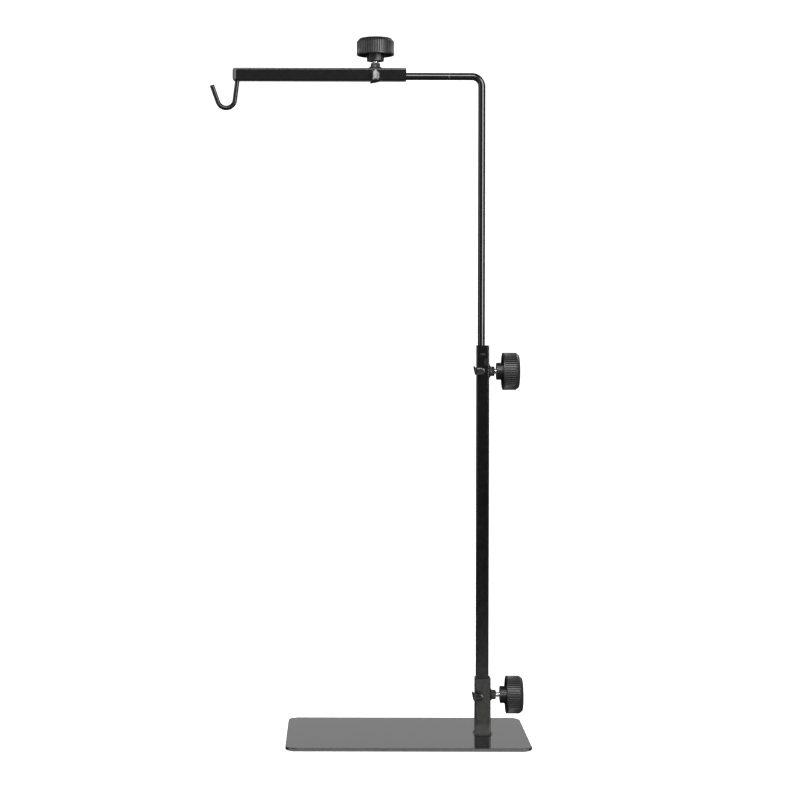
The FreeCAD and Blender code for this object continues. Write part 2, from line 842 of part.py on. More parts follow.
os.makedirs("parts", exist_ok=True)
for item in sub_parts:
    if item.Shape.isNull() or not item.Shape.isValid():
        raise RuntimeError(f"{item.Label} has no valid shape")
    if not item.Shape.Solids:
        raise RuntimeError(f"{item.Label} has no solid")
for item in sub_parts:
    item.Shape.exportStep(os.path.join("parts", item.Label + ".step"))
print(f"{len(sub_parts)} sub-parts written")
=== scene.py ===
import math

import bmesh
import bpy
from mathutils import Matrix, Vector, noise


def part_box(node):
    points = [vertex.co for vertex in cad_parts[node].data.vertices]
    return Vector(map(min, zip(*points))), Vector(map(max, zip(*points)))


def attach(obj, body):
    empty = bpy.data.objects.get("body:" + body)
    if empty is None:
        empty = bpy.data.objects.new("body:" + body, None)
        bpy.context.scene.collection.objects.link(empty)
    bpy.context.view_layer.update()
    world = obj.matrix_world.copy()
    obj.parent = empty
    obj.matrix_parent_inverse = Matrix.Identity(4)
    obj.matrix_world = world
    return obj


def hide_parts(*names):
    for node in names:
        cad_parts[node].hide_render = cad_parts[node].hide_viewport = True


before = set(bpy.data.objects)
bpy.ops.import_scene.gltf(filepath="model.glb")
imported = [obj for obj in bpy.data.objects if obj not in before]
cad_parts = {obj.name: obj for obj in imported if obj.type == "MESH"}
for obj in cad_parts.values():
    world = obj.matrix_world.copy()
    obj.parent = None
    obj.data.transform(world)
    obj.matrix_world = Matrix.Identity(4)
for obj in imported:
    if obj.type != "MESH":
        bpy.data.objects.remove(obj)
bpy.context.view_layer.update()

# The looks of an adjustable hanging-hook stand: a glossy steel base plate, satin square tubes, a glossy
# round rod, three ribbed knobs on zinc-plated screws, and a wire hook. Lengths are in metres. The knobs,
# screws, nut beads and clips are drawn in their clamp's own frame: +X along the screw, Z along the tube
# and the front at -Y.

MM = 0.001
TAU = 2 * math.pi
X, Y, Z = 0, 1, 2

CLAMPS = {
    "socket": {"tube": "base_socket", "body": "base", "screw_axis": X, "tube_axis": Z},
    "post": {"tube": "post_tube", "body": "post", "screw_axis": X, "tube_axis": Z},
    "arm": {"tube": "arm_tube", "body": "arm", "screw_axis": Z, "tube_axis": X},
}

# ---------------------------------------------------------------------------------------------------
# Mesh helpers
# ---------------------------------------------------------------------------------------------------

GROOVE_START = 0.22  # where a groove's side starts and ends, from 0 at a crest to 1 halfway to the next
GROOVE_END = 0.7
ROUND_SHARE = 0.45  # of a side at most, so that two neighbouring corners never meet
BEVEL_DEGREES = 40


def finish_mesh(name, bm, sharp_degrees):
    """Turns a bmesh into an object, smooth but for edges sharper than the angle."""
    bmesh.ops.recalc_face_normals(bm, faces=bm.faces)
    mesh = bpy.data.meshes.new(name)
    bm.to_mesh(mesh)
    bm.free()
    for face in mesh.polygons:
        face.use_smooth = True
    mesh.set_sharp_from_angle(angle=math.radians(sharp_degrees))
    piece = bpy.data.objects.new(name, mesh)
    bpy.context.scene.collection.objects.link(piece)
    return piece


def skin(name, rows, caps=False, closed=False, sharp_degrees=40):
    """A skin through rings of points, capped at its two ends, or closed from the last ring to the first."""
    bm = bmesh.new()
    rings = [[bm.verts.new(point) for point in row] for row in rows]
    count = len(rows[0])
    followers = rings[1:] + rings[:1] if closed else rings[1:]
    for low, high in zip(rings, followers):
        for i in range(count):
            j = (i + 1) % count
            bm.faces.new((low[i], low[j], high[j], high[i]))
    if caps:
        bm.faces.new(rings[0])
        bm.faces.new(rings[-1])
    return finish_mesh(name, bm, sharp_degrees)


def ring(x, radius, segments):
    """A circle of points about the X axis."""
    angles = [TAU * k / segments for k in range(segments)]
    return [Vector((x, radius * math.cos(angle), radius * math.sin(angle))) for angle in angles]


def rounded(corners, steps=4):
    """Rounds an outline: corners of (x, r, pattern, radius) become points of (x, r, pattern)."""
    points = []
    for number, (x, r, pattern, radius) in enumerate(corners):
        here = Vector((x, r))
        if radius == 0 or number in (0, len(corners) - 1):
            points.append((x, r, pattern))
            continue
        back = Vector(corners[number - 1][:2]) - here
        ahead = Vector(corners[number + 1][:2]) - here
        half_turn = back.angle(ahead) / 2
        room = ROUND_SHARE * min(back.length, ahead.length)
        reach = min(radius / math.tan(half_turn), room)
        start = here + back.normalized() * reach
        end = here + ahead.normalized() * reach
        for step in range(steps + 1):
            t = step / steps
            curve = start * (1 - t) ** 2 + here * 2 * t * (1 - t) + end * t ** 2
            points.append((curve.x, curve.y, pattern))
    return points


def smooth_step(start, end, value):
    t = min(max((value - start) / (end - start), 0), 1)
    return t * t * (3 - 2 * t)


def turned(name, outline, segments, patterns, sharp_degrees=50):
    """An outline turned about +X. Each point names a pattern: a count of ridges and how deep they go.

    Where the pattern is ribbed, the attribute ridge is 1 on a crest and 0 in a groove. Elsewhere it's 0.5.
    """
    rows = []
    ridges = []
    for x, r, pattern in outline:
        count, depth = patterns[pattern]
        row = []
        for k in range(segments):
            angle = TAU * k / segments
            groove = smooth_step(GROOVE_START, GROOVE_END, 0.5 - 0.5 * math.cos(angle * count))
            radius = r - depth * groove
            row.append(Vector((x, radius * math.cos(angle), radius * math.sin(angle))))
            ridges.append(1 - groove if pattern == "ribbed" else 0.5)
        rows.append(row)
    piece = skin(name, rows, caps=True, sharp_degrees=sharp_degrees)
    ridge = piece.data.attributes.new("ridge", "FLOAT", "POINT")
    ridge.data.foreach_set("value", ridges)
    return piece


def span(node, axis):
    """A CAD node's extent along one axis of the row frame."""
    low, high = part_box(node)
    return high[axis] - low[axis]


def clamp_frame(clamp):
    """The matrix from a clamp's own frame to the row frame, its tube's half width, and the hub's place."""
    facts = CLAMPS[clamp]
    screw_axis, tube_axis = facts["screw_axis"], facts["tube_axis"]
    tube_low, tube_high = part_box(facts["tube"])
    knob_low, knob_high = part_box(clamp + "_knob")
    tube_middle = (Vector(tube_low) + Vector(tube_high)) / 2
    knob_middle = (Vector(knob_low) + Vector(knob_high)) / 2
    half = (tube_high[Y] - tube_low[Y]) / 2
    hub = knob_low[screw_axis] - tube_middle[screw_axis]
    place = tube_middle.copy()
    place[tube_axis] = knob_middle[tube_axis]
    matrix = Matrix.Translation(place)
    if screw_axis == Z:
        matrix = matrix @ Matrix.Rotation(-math.pi / 2, 4, "Y")
    return matrix, half, hub


def settle(piece, matrix, body, node, material):
    """Puts a piece in its place, in its material, on its body, for its CAD node."""
    piece.data.transform(matrix)
    piece.data.materials.append(material)
    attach(piece, body)
    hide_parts(node)


def bevel(piece, width, segments=2):
    change = piece.modifiers.new("edge_round", "BEVEL")
    change.width = width
    change.segments = segments
    change.limit_method = "ANGLE"
    change.angle_limit = math.radians(BEVEL_DEGREES)


# ---------------------------------------------------------------------------------------------------
# Material helpers
# ---------------------------------------------------------------------------------------------------

# a Mix node's sockets when it mixes colours
MIX_SHARE, MIX_UNDER, MIX_OVER, MIX_RESULT = 0, 6, 7, 2

NOISE_LOW, NOISE_HIGH = 0.3, 0.7  # the range that a noise texture mostly stays in
PATCH_SCALE = 60  # the colour's patches, per metre
SHEEN_SCALE = 220  # the gloss's patches, per metre


def new_material(name):
    material = bpy.data.materials.new(name)
    material.use_nodes = True
    tree = material.node_tree
    return material, tree, tree.nodes["Principled BSDF"]


def noise_texture(tree, coordinates, scale, detail):
    node = tree.nodes.new("ShaderNodeTexNoise")
    node.inputs["Scale"].default_value = scale
    node.inputs["Detail"].default_value = detail
    tree.links.new(coordinates.outputs["Object"], node.inputs["Vector"])
    return node.outputs["Fac"]


def map_range(tree, source, from_low, from_high, to_low=0, to_high=1, shape="LINEAR"):
    node = tree.nodes.new("ShaderNodeMapRange")
    node.interpolation_type = shape
    node.inputs["From Min"].default_value = from_low
    node.inputs["From Max"].default_value = from_high
    node.inputs["To Min"].default_value = to_low
    node.inputs["To Max"].default_value = to_high
    tree.links.new(source, node.inputs["Value"])
    return node.outputs["Result"]


def mix_colours(tree, share, under, over):
    """A colour that runs from under to over as share does. Each is a colour or another node's output."""
    node = tree.nodes.new("ShaderNodeMix")
    node.data_type = "RGBA"
    tree.links.new(share, node.inputs[MIX_SHARE])
    for socket, colour in ((MIX_UNDER, under), (MIX_OVER, over)):
        if isinstance(colour, tuple):
            node.inputs[socket].default_value = (*colour, 1)
        else:
            tree.links.new(colour, node.inputs[socket])
    return node.outputs[MIX_RESULT]


def vector_math(tree, operation, source, value=None):
    node = tree.nodes.new("ShaderNodeVectorMath")
    node.operation = operation
    tree.links.new(source, node.inputs[0])
    if value:
        node.inputs[1].default_value = value
    return node


def bump(tree, height, distance, normal=None):
    node = tree.nodes.new("ShaderNodeBump")
    node.inputs["Distance"].default_value = distance
    node.inputs["Strength"].default_value = 1.0
    tree.links.new(height, node.inputs["Height"])
    if normal:
        tree.links.new(normal, node.inputs["Normal"])
    return node.outputs["Normal"]


def coating(name, dark, light, rough, peel, grain, gloss=0.5):
    """Paint or moulded plastic: a mottled colour, uneven gloss, an orange-peel wave and a fine grain.

    Peel and grain are each (size, height), in millimetres.
    """
    material, tree, shader = new_material(name)
    place = tree.nodes.new("ShaderNodeTexCoord")
    patches = noise_texture(tree, place, PATCH_SCALE, 4)
    tree.links.new(mix_colours(tree, patches, dark, light), shader.inputs["Base Color"])
    sheen = noise_texture(tree, place, SHEEN_SCALE, 3)
    tree.links.new(map_range(tree, sheen, NOISE_LOW, NOISE_HIGH, *rough), shader.inputs["Roughness"])
    normal = None
    for (size, height), detail in ((peel, 2), (grain, 1)):
        wave = noise_texture(tree, place, 1 / (size * MM), detail)
        normal = bump(tree, wave, height * MM, normal)
    tree.links.new(normal, shader.inputs["Normal"])
    shader.inputs["Specular IOR Level"].default_value = gloss
    return material


def mark(material, place, stretch, colour, breakup):
    """Adds a mark: a soft spot of another colour, stretched along each axis and broken up."""
    tree = material.node_tree
    shader = tree.nodes["Principled BSDF"]
    under = shader.inputs["Base Color"].links[0].from_socket
    where = tree.nodes.new("ShaderNodeTexCoord")
    shift = vector_math(tree, "SUBTRACT", where.outputs["Object"], place)
    scale = vector_math(tree, "DIVIDE", shift.outputs["Vector"], stretch)
    grit = tree.nodes.new("ShaderNodeTexNoise")
    grit.inputs["Scale"].default_value = breakup
    tree.links.new(scale.outputs["Vector"], grit.inputs["Vector"])
    size = vector_math(tree, "LENGTH", scale.outputs["Vector"])
    rough = tree.nodes.new("ShaderNodeMath")
    rough.operation = "ADD"
    tree.links.new(size.outputs["Value"], rough.inputs[0])
    tree.links.new(grit.outputs["Fac"], rough.inputs[1])
    edge, core = 1.5, 1.1
    cover = map_range(tree, rough.outputs["Value"], edge, core)
    tree.links.new(mix_colours(tree, cover, under, colour), shader.inputs["Base Color"])


def paint_rib_shade_and_highlight(material, groove_shade_colour, crest_highlight_colour):
    """Knob ribs: a painted highlight, pale along their crests, and painted shade, dark in the grooves
    between them.
    """
    tree = material.node_tree
    shader = tree.nodes["Principled BSDF"]
    colour = shader.inputs["Base Color"].links[0].from_socket
    ridge = tree.nodes.new("ShaderNodeAttribute")
    ridge.attribute_name = "ridge"
    # the groove colour is painted shade and the crest colour is a painted highlight
    for full, painted_tone_colour in ((0.0, groove_shade_colour), (1.0, crest_highlight_colour)):
        share = map_range(tree, ridge.outputs["Fac"], 0.5, full)
        colour = mix_colours(tree, share, colour, painted_tone_colour)
    tree.links.new(colour, shader.inputs["Base Color"])


# ---------------------------------------------------------------------------------------------------
# Materials
# ---------------------------------------------------------------------------------------------------


def grey(level):
    return (level, level, level)


def make_zinc():
    zinc = coating(
        "zinc_plating", (0.80, 0.80, 0.82), (0.92, 0.92, 0.93), (0.18, 0.30), (1.2, 0.002), (0.2, 0.003)
    )
    zinc.node_tree.nodes["Principled BSDF"].inputs["Metallic"].default_value = 1
    return zinc


def make_materials():
    """Each coating's dark and light colour, range of roughness, peel and grain."""
    return {
        "tube": coating(
            "satin_tube_paint", grey(0.002), grey(0.004), (0.12, 0.17), (1.1, 0.004), (0.3, 0.001)
        ),
        "socket": coating(
            "satin_socket_paint", (0.009, 0.010, 0.008), (0.015, 0.016, 0.013), (0.24, 0.32),
            (0.9, 0.008), (0.25, 0.004),
        ),
        "plate": coating(
            "gloss_plate_paint", grey(0.006), grey(0.010), (0.05, 0.09), (3.0, 0.004), (0.6, 0.0006)
        ),
        "rod": coating(
            "gloss_rod_enamel", grey(0.003), grey(0.005), (0.08, 0.13), (6.0, 0.002), (0.8, 0.0002)
        ),
        "hook": coating(
            "satin_hook_enamel", grey(0.002), grey(0.004), (0.20, 0.28), (2.0, 0.003), (0.4, 0.0005),
            gloss=0.32,
        ),
        "clip": coating(
            "gloss_clip_paint", grey(0.005), grey(0.009), (0.20, 0.28), (1.0, 0.006), (0.3, 0.002)
        ),
        "knob": coating(
            "moulded_knob_plastic", grey(0.006), grey(0.010), (0.40, 0.48), (0.8, 0.002), (0.15, 0.0015)
        ),
        "plug": coating(
            "moulded_plug_plastic", (0.050, 0.050, 0.051), (0.066, 0.066, 0.067), (0.42, 0.52),
            (1.0, 0.004), (0.15, 0.006),
        ),
        # the weld colour is partly the paint's own and partly a painted highlight, lightened so the beads
        # show bright lines
        "weld": coating(
            "weld_paint_lightened_for_highlight", grey(0.014), grey(0.034), (0.20, 0.32), (0.9, 0.05), (0.3, 0.010)
        ),
        "foam": coating(
            "anti_slip_foam", grey(0.010), grey(0.018), (0.85, 0.95), (1.4, 0.08), (0.4, 0.05)
        ),
        "zinc": make_zinc(),
    }


def add_wear_and_painted_light(materials):
    """Painted shade in the knobs' rib grooves and a painted highlight on their crests, two marks near the
    post's top, a nick on the rod, and a socket whose colour is lighter towards its foot.
    """
    # painted shade darkens the knobs' rib grooves, and a painted highlight lightens their crests
    paint_rib_shade_and_highlight(materials["knob"], grey(0.001), grey(0.036))
    post_low, post_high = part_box("post_tube")
    post_middle = (post_low[X] + post_high[X]) / 2
    scuff = (post_middle, post_low[Y], post_high[Z] - 8.5 * MM)
    mark(materials["tube"], scuff, (3.2 * MM, 4 * MM, 1.0 * MM), grey(0.035), 2.0)
    stain = (post_middle + 2.5 * MM, post_low[Y], post_high[Z] - 16 * MM)
    mark(materials["tube"], stain, (2.0 * MM, 4 * MM, 4.0 * MM), grey(0.014), 2.0)
    rod_low, rod_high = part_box("rod_reach")
    nick = (rod_high[X] - 22 * MM, rod_low[Y], (rod_low[Z] + rod_high[Z]) / 2)
    mark(materials["rod"], nick, (0.9 * MM, 4 * MM, 3.2 * MM), grey(0.06), 1.5)
    # the socket's colour is made lighter towards its foot
    socket_low, socket_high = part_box("base_socket")
    foot = ((socket_low[X] + socket_high[X]) / 2, (socket_low[Y] + socket_high[Y]) / 2, socket_low[Z])
    mark(materials["socket"], foot, (20 * MM, 20 * MM, 16 * MM), (0.042, 0.043, 0.040), 0.6)


# ---------------------------------------------------------------------------------------------------
# Knobs and screws
# ---------------------------------------------------------------------------------------------------

SCREW_RADIUS = 2.5 * MM
SCREW_SEGMENTS = 32
THREAD_PITCH = 0.8 * MM
THREAD_DEPTH = 0.45 * MM
THREAD_STEPS = 12  # rings of points in one turn of the thread
THREAD_END = 2.0 * MM  # from the thread's end to the head
SHANK_START = 1.8 * MM  # from the plain shank's start to the head
TIP_TAPER = 0.8 * MM
HEAD_DEPTH = 12.5 * MM  # from the hub's face to the head's underside
HEAD_HEIGHT = 4.0 * MM
HEAD_RADIUS = 4.0 * MM
MOULD_GAP = 0.05 * MM  # between the screw and the knob moulded over it

KNOB_RIBS = 50
RIB_SAMPLES = 12
RIB_DEPTH = 1.2 * MM
RIB_RISE = 0.4 * MM  # how far a rib takes to rise from the rim
RIB_FADE = 0.6 * MM  # and to fade out before the sloped edge
HUB_FLUTES = 8
FLUTE_DEPTH = 0.25 * MM
HUB_LENGTH = 5.7 * MM
HUB_RADIUS = 8.25 * MM
RECESS = 9.0 * MM
SKIRT_WALL = 2.6 * MM
SKIRT_NARROWS = 0.4 * MM  # the recess's draft, at its bottom
SKIRT_WIDENS = 0.6 * MM  # and at the rim
RIM_LIP = 1.3 * MM
DOME_HEIGHT = 0.9 * MM
DOME_STEPS = 8
EDGE_SLOPE_WIDTH = 2.5 * MM
EDGE_SLOPE_LENGTH = 3.0 * MM
AXIS_RADIUS = 0.1 * MM  # where an outline stops short of the axis


def make_knob(clamp, materials):
    """A hollow knob: hub, recess, ribbed skirt, sloped edge and slightly domed end."""
    matrix, _half, hub = clamp_frame(clamp)
    node = clamp + "_knob"
    radius = span(node, Y) / 2
    length = span(node, CLAMPS[clamp]["screw_axis"])
    head_end = HEAD_DEPTH + HEAD_HEIGHT + MOULD_GAP
    head_start = HEAD_DEPTH - MOULD_GAP
    head_radius = HEAD_RADIUS + MOULD_GAP
    screw_hole = SCREW_RADIUS + MOULD_GAP
    web = HUB_LENGTH + RECESS
    skirt_inside = radius - SKIRT_WALL
    rim_end = HUB_LENGTH + RIM_LIP
    dome_start = length - DOME_HEIGHT
    slope_start = dome_start - EDGE_SLOPE_LENGTH
    crown = radius - EDGE_SLOPE_WIDTH
    # (place along the axis, radius, pattern, how much the corner is rounded)
    corners = [
        (head_end, AXIS_RADIUS, "plain", 0),
        (head_end, head_radius, "plain", 0),
        (head_start, head_radius, "plain", 0),
        (head_start, screw_hole, "plain", 0),
        (0, screw_hole, "plain", 0.3 * MM),
        (0, HUB_RADIUS - FLUTE_DEPTH, "plain", 0),
        (0, HUB_RADIUS, "fluted", 0.4 * MM),
        (web, HUB_RADIUS, "fluted", 0.6 * MM),
        (web, skirt_inside - SKIRT_NARROWS, "plain", 0.8 * MM),
        (HUB_LENGTH, skirt_inside + SKIRT_WIDENS, "plain", 0.3 * MM),
        (HUB_LENGTH, radius, "plain", 0.5 * MM),
        (rim_end, radius, "plain", 0),
        (rim_end + RIB_RISE, radius, "ribbed", 0),
        (slope_start - RIB_FADE, radius, "ribbed", 0),
        (slope_start, radius, "plain", 0.3 * MM),
        (dome_start, crown, "plain", 0.6 * MM),
    ]
    outline = rounded(corners)
    for step in range(1, DOME_STEPS + 1):
        left = 1 - step / DOME_STEPS
        outline.append((length - DOME_HEIGHT * left ** 2, max(crown * left, AXIS_RADIUS), "plain"))
    patterns = {"plain": (0, 0), "ribbed": (KNOB_RIBS, RIB_DEPTH), "fluted": (HUB_FLUTES, FLUTE_DEPTH)}
    knob = turned(clamp + "_ribbed_knob", outline, KNOB_RIBS * RIB_SAMPLES, patterns)
    place = matrix @ Matrix.Translation((hub, 0, 0))
    settle(knob, place, clamp + "_knob", node, materials["knob"])


def make_screw(clamp, materials):
    """A threaded screw with its moulded-in head."""
    matrix, _half, hub = clamp_frame(clamp)
    node = clamp + "_clamp_screw"
    tip = HEAD_DEPTH + HEAD_HEIGHT - span(node, CLAMPS[clamp]["screw_axis"])
    rows = []
    x = tip
    while x < HEAD_DEPTH - THREAD_END:
        taper = min((x - tip) / TIP_TAPER, 1)
        row = []
        for k in range(SCREW_SEGMENTS):
            turn = (x / THREAD_PITCH - k / SCREW_SEGMENTS) % 1
            thread = 1 - abs(2 * turn - 1)
            radius = SCREW_RADIUS - THREAD_DEPTH * (1 - thread * taper)
            angle = TAU * k / SCREW_SEGMENTS
            row.append(Vector((x, radius * math.cos(angle), radius * math.sin(angle))))
        rows.append(row)
        x += THREAD_PITCH / THREAD_STEPS
    rows.append(ring(HEAD_DEPTH - SHANK_START, SCREW_RADIUS, SCREW_SEGMENTS))
    rows.append(ring(HEAD_DEPTH, SCREW_RADIUS, SCREW_SEGMENTS))
    rows.append(ring(HEAD_DEPTH, HEAD_RADIUS, SCREW_SEGMENTS))
    rows.append(ring(HEAD_DEPTH + HEAD_HEIGHT, HEAD_RADIUS, SCREW_SEGMENTS))
    screw = skin(clamp + "_threaded_screw", rows, caps=True, sharp_degrees=60)
    place = matrix @ Matrix.Translation((hub, 0, 0))
    settle(screw, place, clamp + "_screw", node, materials["zinc"])


# ---------------------------------------------------------------------------------------------------
# Weld beads
# ---------------------------------------------------------------------------------------------------


def make_nut_weld(clamp, materials):
    """A lumpy bead that flares from the nut's foot out along the tube."""
    matrix, half, _hub = clamp_frame(clamp)
    node = clamp + "_nut_weld"
    length = span(node, CLAMPS[clamp]["tube_axis"])
    side_land = 0.9 * MM  # from the tube's side to the bead's edge
    reach_across = half - side_land
    nut_radius = 3.9 * MM
    crest_height = 2.6 * MM
    flare = 1.9  # the power with which the bead's height falls off
    lump_scale, lump_change, lump_seed = 2.2, 1.5, length * 900
    toe_unevenness, crest_unevenness = 0.05, 0.16
    ripple_height, ripple_count, ripple_drift = 0.07 * MM, 17, 3
    sink = 0.05 * MM
    segments, steps = 96, 12
    rows = []
    for step in range(steps + 1):
        t = step / steps
        row = []
        for k in range(segments):
            angle = TAU * k / segments
            across, along = math.cos(angle), math.sin(angle)
            spot = Vector((across * lump_scale, along * lump_scale, t * lump_change + lump_seed))
            lump = noise.noise(spot)
            toe = 1 / math.sqrt((across / reach_across) ** 2 + (along / (length / 2)) ** 2)
            toe *= 1 + toe_unevenness * lump
            radius = nut_radius + (toe - nut_radius) * t
            height = crest_height * (1 - t) ** flare * (1 + crest_unevenness * lump)
            ripple = ripple_height * math.sin(angle * ripple_count + ripple_drift * lump) * 4 * t * (1 - t)
            row.append(Vector((half + height + ripple, radius * across, radius * along)))
        rows.append(row)
    rows.append([Vector((half - sink, point.y, point.z)) for point in rows[-1]])
    bead = skin(clamp + "_nut_bead", rows, caps=True, sharp_degrees=80)
    settle(bead, matrix, CLAMPS[clamp]["body"], node, materials["weld"])


def socket_outline(half, corner):
    """The points round a square tube, each with its outward direction."""
    side_steps, corner_steps = 40, 10
    flat = half - corner
    outline = []
    for side in range(4):
        turn = Matrix.Rotation(side * math.pi / 2, 2)
        for step in range(side_steps):
            point = Vector((half, -flat + 2 * flat * step / side_steps))
            outline.append((turn @ point, turn @ Vector((1, 0))))
        for step in range(corner_steps):
            angle = math.pi / 2 * step / corner_steps
            way = Vector((math.cos(angle), math.sin(angle)))
            outline.append((turn @ (Vector((flat, flat)) + way * corner), turn @ way))
    return outline


def make_foot_weld(materials):
    """The rippled fillet weld round the socket's foot."""
    low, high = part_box("socket_foot_weld")
    leg = high[Z] - low[Z]
    middle = Vector(((low[X] + high[X]) / 2, (low[Y] + high[Y]) / 2))
    corner = 1.6 * MM
    outline = socket_outline(span("base_socket", X) / 2, corner)
    mean_leg = leg * 0.92  # the lumps and ripples stand above and below it
    hollow = 0.25  # how far the fillet's face sinks in, as a share of its leg
    ripple_height, ripple_points = 0.06 * MM, 6.5
    lump_height, lump_scale = 0.16 * MM, 450
    sink = 0.05 * MM
    profile_steps = 10
    rows = []
    for step in range(profile_steps + 1):
        angle = math.pi / 2 * step / profile_steps
        row = []
        for number, (point, way) in enumerate(outline):
            ripple = math.sin(number * TAU / ripple_points) * ripple_height
            lump = noise.noise(Vector((point.x, point.y, 0)) * lump_scale) * lump_height
            size = mean_leg + ripple + lump
            dip = hollow * size * math.sin(2 * angle)
            out = max(size * math.cos(angle) - dip, 0)
            up = max(size * math.sin(angle) - dip, 0)
            place = middle + point + way * out
            row.append(Vector((place.x, place.y, low[Z] + up)))
        rows.append(row)
    inner = []
    for point, way in outline:
        place = middle + point - way * sink
        inner.append(Vector((place.x, place.y, low[Z])))
    rows.append(inner)
    bead = skin("socket_foot_bead", rows, closed=True, sharp_degrees=70)
    settle(bead, Matrix(), "base", "socket_foot_weld", materials["weld"])


# ---------------------------------------------------------------------------------------------------
# Cord clips
# ---------------------------------------------------------------------------------------------------

CLIP_STRIP = 0.9 * MM
CLIP_GAP = 6.5 * MM
CLIP_WIDTH = 6.4 * MM
CLIP_BULGE = 3.9 * MM  # how far the bend stands out past the tube's side
CLIP_SKEW = 1.7 * MM
CLIP_DISH = 0.4 * MM
CLIP_NARROWEST = 0.35 * MM  # half the strip's width at its round end's tip
CLIP_EDGE_ROUND = 0.22 * MM
CLIP_TIPS = {"socket": -0.7 * MM, "post": 0.9 * MM, "arm": 3.2 * MM}
CLIP_LEANS = {"socket": 0, "post": 0, "arm": 1.3 * MM}


def clip_path(half, tip):
    """The strip's middle line, the bend's x and the free leg's y.

    Each point is (x, y, how far into the bend, how far past the round end's start).
    """
    bend_radius = (CLIP_GAP + CLIP_STRIP) / 2
    bend_x = -half - CLIP_BULGE + bend_radius + CLIP_STRIP / 2
    foot_y = -half - CLIP_STRIP / 2
    leg_y = foot_y - 2 * bend_radius
    foot_steps, bend_steps, leg_steps = 6, 20, 14
    path = []
    for step in range(foot_steps):
        path.append((tip + (bend_x - tip) * step / foot_steps, foot_y, 0, 0))
    for step in range(bend_steps):
        angle = math.pi / 2 + math.pi * step / bend_steps
        x = bend_x + bend_radius * math.cos(angle)
        y = foot_y - bend_radius + bend_radius * math.sin(angle)
        path.append((x, y, math.sin(math.pi * step / bend_steps) ** 2, 0))
    for step in range(leg_steps + 1):
        x = bend_x + (tip - bend_x) * math.sin(math.pi / 2 * step / leg_steps)
        path.append((x, leg_y, 0, max(x - (tip - CLIP_WIDTH / 2), 0)))
    return path, bend_x, leg_y


def make_clip(clamp, materials):
    """A strip bent back on itself, its bend skewed so that the upper edge stands out like a horn."""
    matrix, half, _hub = clamp_frame(clamp)
    node = clamp + "_cord_clip"
    tip = CLIP_TIPS[clamp]
    horn_rise = span(node, CLAMPS[clamp]["tube_axis"]) - CLIP_WIDTH
    path, bend_x, leg_y = clip_path(half, tip)
    across_steps = 12
    bm = bmesh.new()
    lines = []
    for x, y, bend_share, past in path:
        reach = math.sqrt(max((CLIP_WIDTH / 2) ** 2 - past ** 2, CLIP_NARROWEST ** 2))
        line = []
        for step in range(across_steps + 1):
            side = 2 * step / across_steps - 1
            skew = CLIP_SKEW * bend_share * (1 - side) / 2
            horn = horn_rise * bend_share * max(side, 0) ** 2
            dish = CLIP_DISH * side * side if y == leg_y else 0
            lean = CLIP_LEANS[clamp] * (x - bend_x) / (tip - bend_x) if y == leg_y else 0
            line.append(bm.verts.new(Vector((x + skew, y + dish + lean, side * reach + horn))))
        lines.append(line)
    for here, there in zip(lines, lines[1:]):
        for i in range(across_steps):
            bm.faces.new((here[i], here[i + 1], there[i + 1], there[i]))
    clip = finish_mesh(clamp + "_bent_clip", bm, 60)
    wall = clip.modifiers.new("strip", "SOLIDIFY")
    wall.thickness = CLIP_STRIP
    wall.offset = 0
    wall.use_even_offset = True
    bevel(clip, CLIP_EDGE_ROUND, 3)
    settle(clip, matrix, CLAMPS[clamp]["body"], node, materials["clip"])


# ---------------------------------------------------------------------------------------------------
# CAD pieces that keep their shape
# ---------------------------------------------------------------------------------------------------

STEEL_EDGE = 0.15 * MM
SOFT_EDGE = 0.3 * MM


def dress_node(node, material, edge=0.0):
    """Gives a CAD node its material, and rounds its edges where an edge is given."""
    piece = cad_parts[node]
    if not piece.material_slots:
        piece.data.materials.append(material)
    for place in piece.material_slots:
        place.material = material
    if edge:
        bevel(piece, edge)


def dress_cad_nodes(materials):
    dress_node("base_plate", materials["plate"])
    dress_node("anti_slip_sheet", materials["foam"])
    dress_node("base_socket", materials["socket"], STEEL_EDGE)
    dress_node("post_tube", materials["tube"], STEEL_EDGE)
    dress_node("arm_tube", materials["tube"], STEEL_EDGE)
    dress_node("arm_end_plug", materials["plug"], SOFT_EDGE)
    dress_node("hook", materials["hook"], SOFT_EDGE)
    for node in ("rod_stem", "rod_elbow", "rod_reach"):
        dress_node(node, materials["rod"])
    for clamp in CLAMPS:
        dress_node(clamp + "_weld_nut", materials["weld"], STEEL_EDGE)


# ---------------------------------------------------------------------------------------------------
# Studio
# ---------------------------------------------------------------------------------------------------

# (height from straight down, 0, to straight up, 1; brightness), behind the stand and in front of it
FAR_LIGHT = [(0.0, 0.14), (0.5, 0.10), (0.58, 0.16), (0.603, 0.70), (0.67, 0.67), (0.76, 0.15), (1.0, 0.08)]
NEAR_LIGHT = [
    (0.0, 0.12), (0.35, 0.2), (0.366, 3.9), (0.384, 3.9), (0.393, 0.04), (0.45, 0.03), (0.5, 0.14),
    (0.57, 0.26), (1.0, 0.08),
]


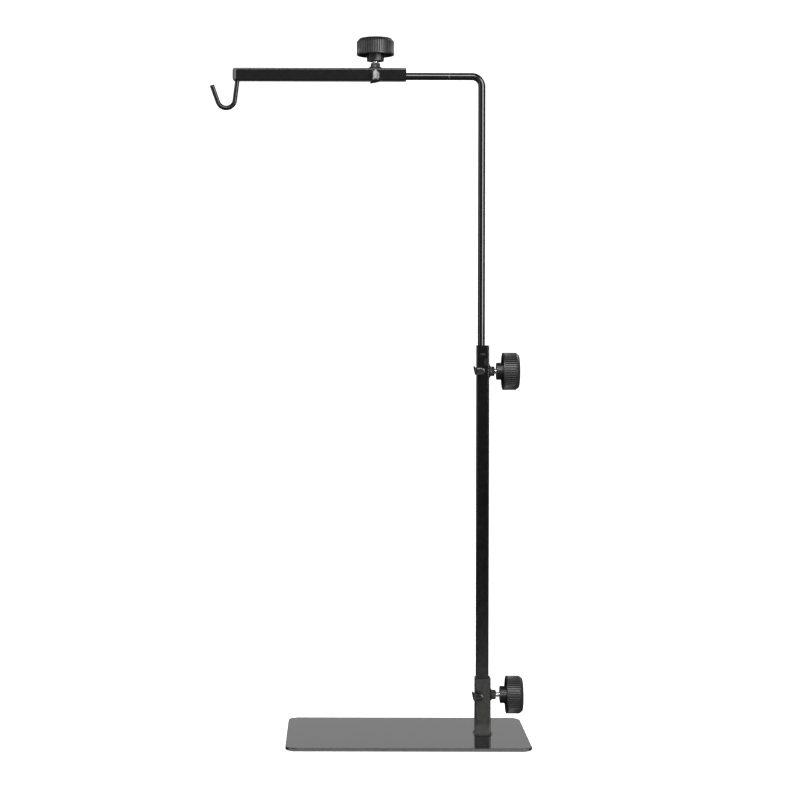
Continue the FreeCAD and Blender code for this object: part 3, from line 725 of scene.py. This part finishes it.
def make_backdrop():
    """A round pale floor that curves up into a wall all round, lit to an even white."""
    floor_radius, bend, height = 3.2, 0.8, 3.4
    segments, bend_steps = 96, 16
    profile = [(0.01, 0), (floor_radius / 2, 0), (floor_radius, 0)]
    for step in range(1, bend_steps + 1):
        angle = math.pi / 2 * step / bend_steps
        profile.append((floor_radius + bend * math.sin(angle), bend - bend * math.cos(angle)))
    profile.append((floor_radius + bend, height))
    angles = [TAU * k / segments for k in range(segments)]
    rows = []
    for radius, z in profile:
        rows.append([Vector((radius * math.cos(a), radius * math.sin(a), z)) for a in angles])
    sweep = skin("studio_sweep", rows)
    material, _tree, shader = new_material("pale_floor")
    shader.inputs["Base Color"].default_value = (0.8, 0.8, 0.8, 1)
    shader.inputs["Roughness"].default_value = 0.9
    shader.inputs["Emission Color"].default_value = (1, 1, 1, 1)
    shader.inputs["Emission Strength"].default_value = 0.95
    sweep.data.materials.append(material)
    sweep.visible_glossy = False
    sweep.visible_diffuse = False


def ramp(tree, source, stops):
    """A grey level that follows the source through stops of (position, level)."""
    node = tree.nodes.new("ShaderNodeValToRGB")
    marks = node.color_ramp.elements
    marks[0].position, first = stops[0]
    marks[0].color = (*grey(first), 1)
    marks[1].position, last = stops[-1]
    marks[1].color = (*grey(last), 1)
    for position, level in stops[1:-1]:
        stop = marks.new(position)
        stop.color = (*grey(level), 1)
    tree.links.new(source, node.inputs["Fac"])
    return node.outputs["Color"]


def make_world():
    """Room light that changes with height. Behind is a bright band, and in front one low narrow strip."""
    world = bpy.data.worlds.new("studio")
    world.use_nodes = True
    tree = world.node_tree
    place = tree.nodes.new("ShaderNodeTexCoord")
    way = tree.nodes.new("ShaderNodeSeparateXYZ")
    tree.links.new(place.outputs["Generated"], way.inputs["Vector"])
    height = map_range(tree, way.outputs["Z"], -1, 1)
    far = ramp(tree, height, FAR_LIGHT)
    near = ramp(tree, height, NEAR_LIGHT)
    behind = map_range(tree, way.outputs["Y"], -0.35, 0.15, shape="SMOOTHSTEP")
    tree.links.new(mix_colours(tree, behind, near, far), tree.nodes["Background"].inputs["Color"])
    bpy.context.scene.world = world


def softbox(name, place, target, size, watts):
    lamp = bpy.data.lights.new(name, "AREA")
    lamp.shape = "RECTANGLE"
    lamp.size, lamp.size_y = size
    lamp.energy = watts
    holder = bpy.data.objects.new(name, lamp)
    holder.location = place
    holder.rotation_euler = (Vector(target) - Vector(place)).to_track_quat("-Z", "Y").to_euler()
    bpy.context.scene.collection.objects.link(holder)


def make_lights():
    softbox("front_right_box", (1.25, -1.75, 1.0), (0.07, 0, 0.35), (0.9, 1.4), 62)
    softbox("left_card", (-1.6, -0.55, 0.7), (0, 0, 0.4), (0.6, 1.5), 6)
    softbox("rear_right_fill", (1.5, 1.7, 1.9), (0.05, 0, 0.35), (0.9, 0.9), 14)
    softbox("rear_left_fill", (-1.9, 1.2, 1.6), (0, 0, 0.35), (0.7, 0.9), 8)
    softbox("top_front_box", (-0.1, -1.72, 1.64), (-0.05, 0, 0.63), (1.1, 0.55), 36)
    bpy.context.scene.view_settings.view_transform = "Standard"


def make_camera():
    """A level camera, a little left of the middle, shifted to frame the whole stand."""
    lens = bpy.data.cameras.new("camera")
    lens.sensor_width = 36
    lens.lens = 78.0
    lens.shift_x = 0.0769
    lens.shift_y = -0.085
    camera = bpy.data.objects.new("camera", lens)
    camera.location = (-0.0663, -1.6704, 0.3896)
    roll = -0.0023
    camera.rotation_euler = (math.pi / 2, roll, 0)
    bpy.context.scene.collection.objects.link(camera)
    bpy.context.scene.camera = camera


make_camera()
materials = make_materials()
add_wear_and_painted_light(materials)
dress_cad_nodes(materials)
for clamp in CLAMPS:
    make_knob(clamp, materials)
    make_screw(clamp, materials)
    make_nut_weld(clamp, materials)
    make_clip(clamp, materials)
make_foot_weld(materials)
make_backdrop()
make_world()
make_lights()
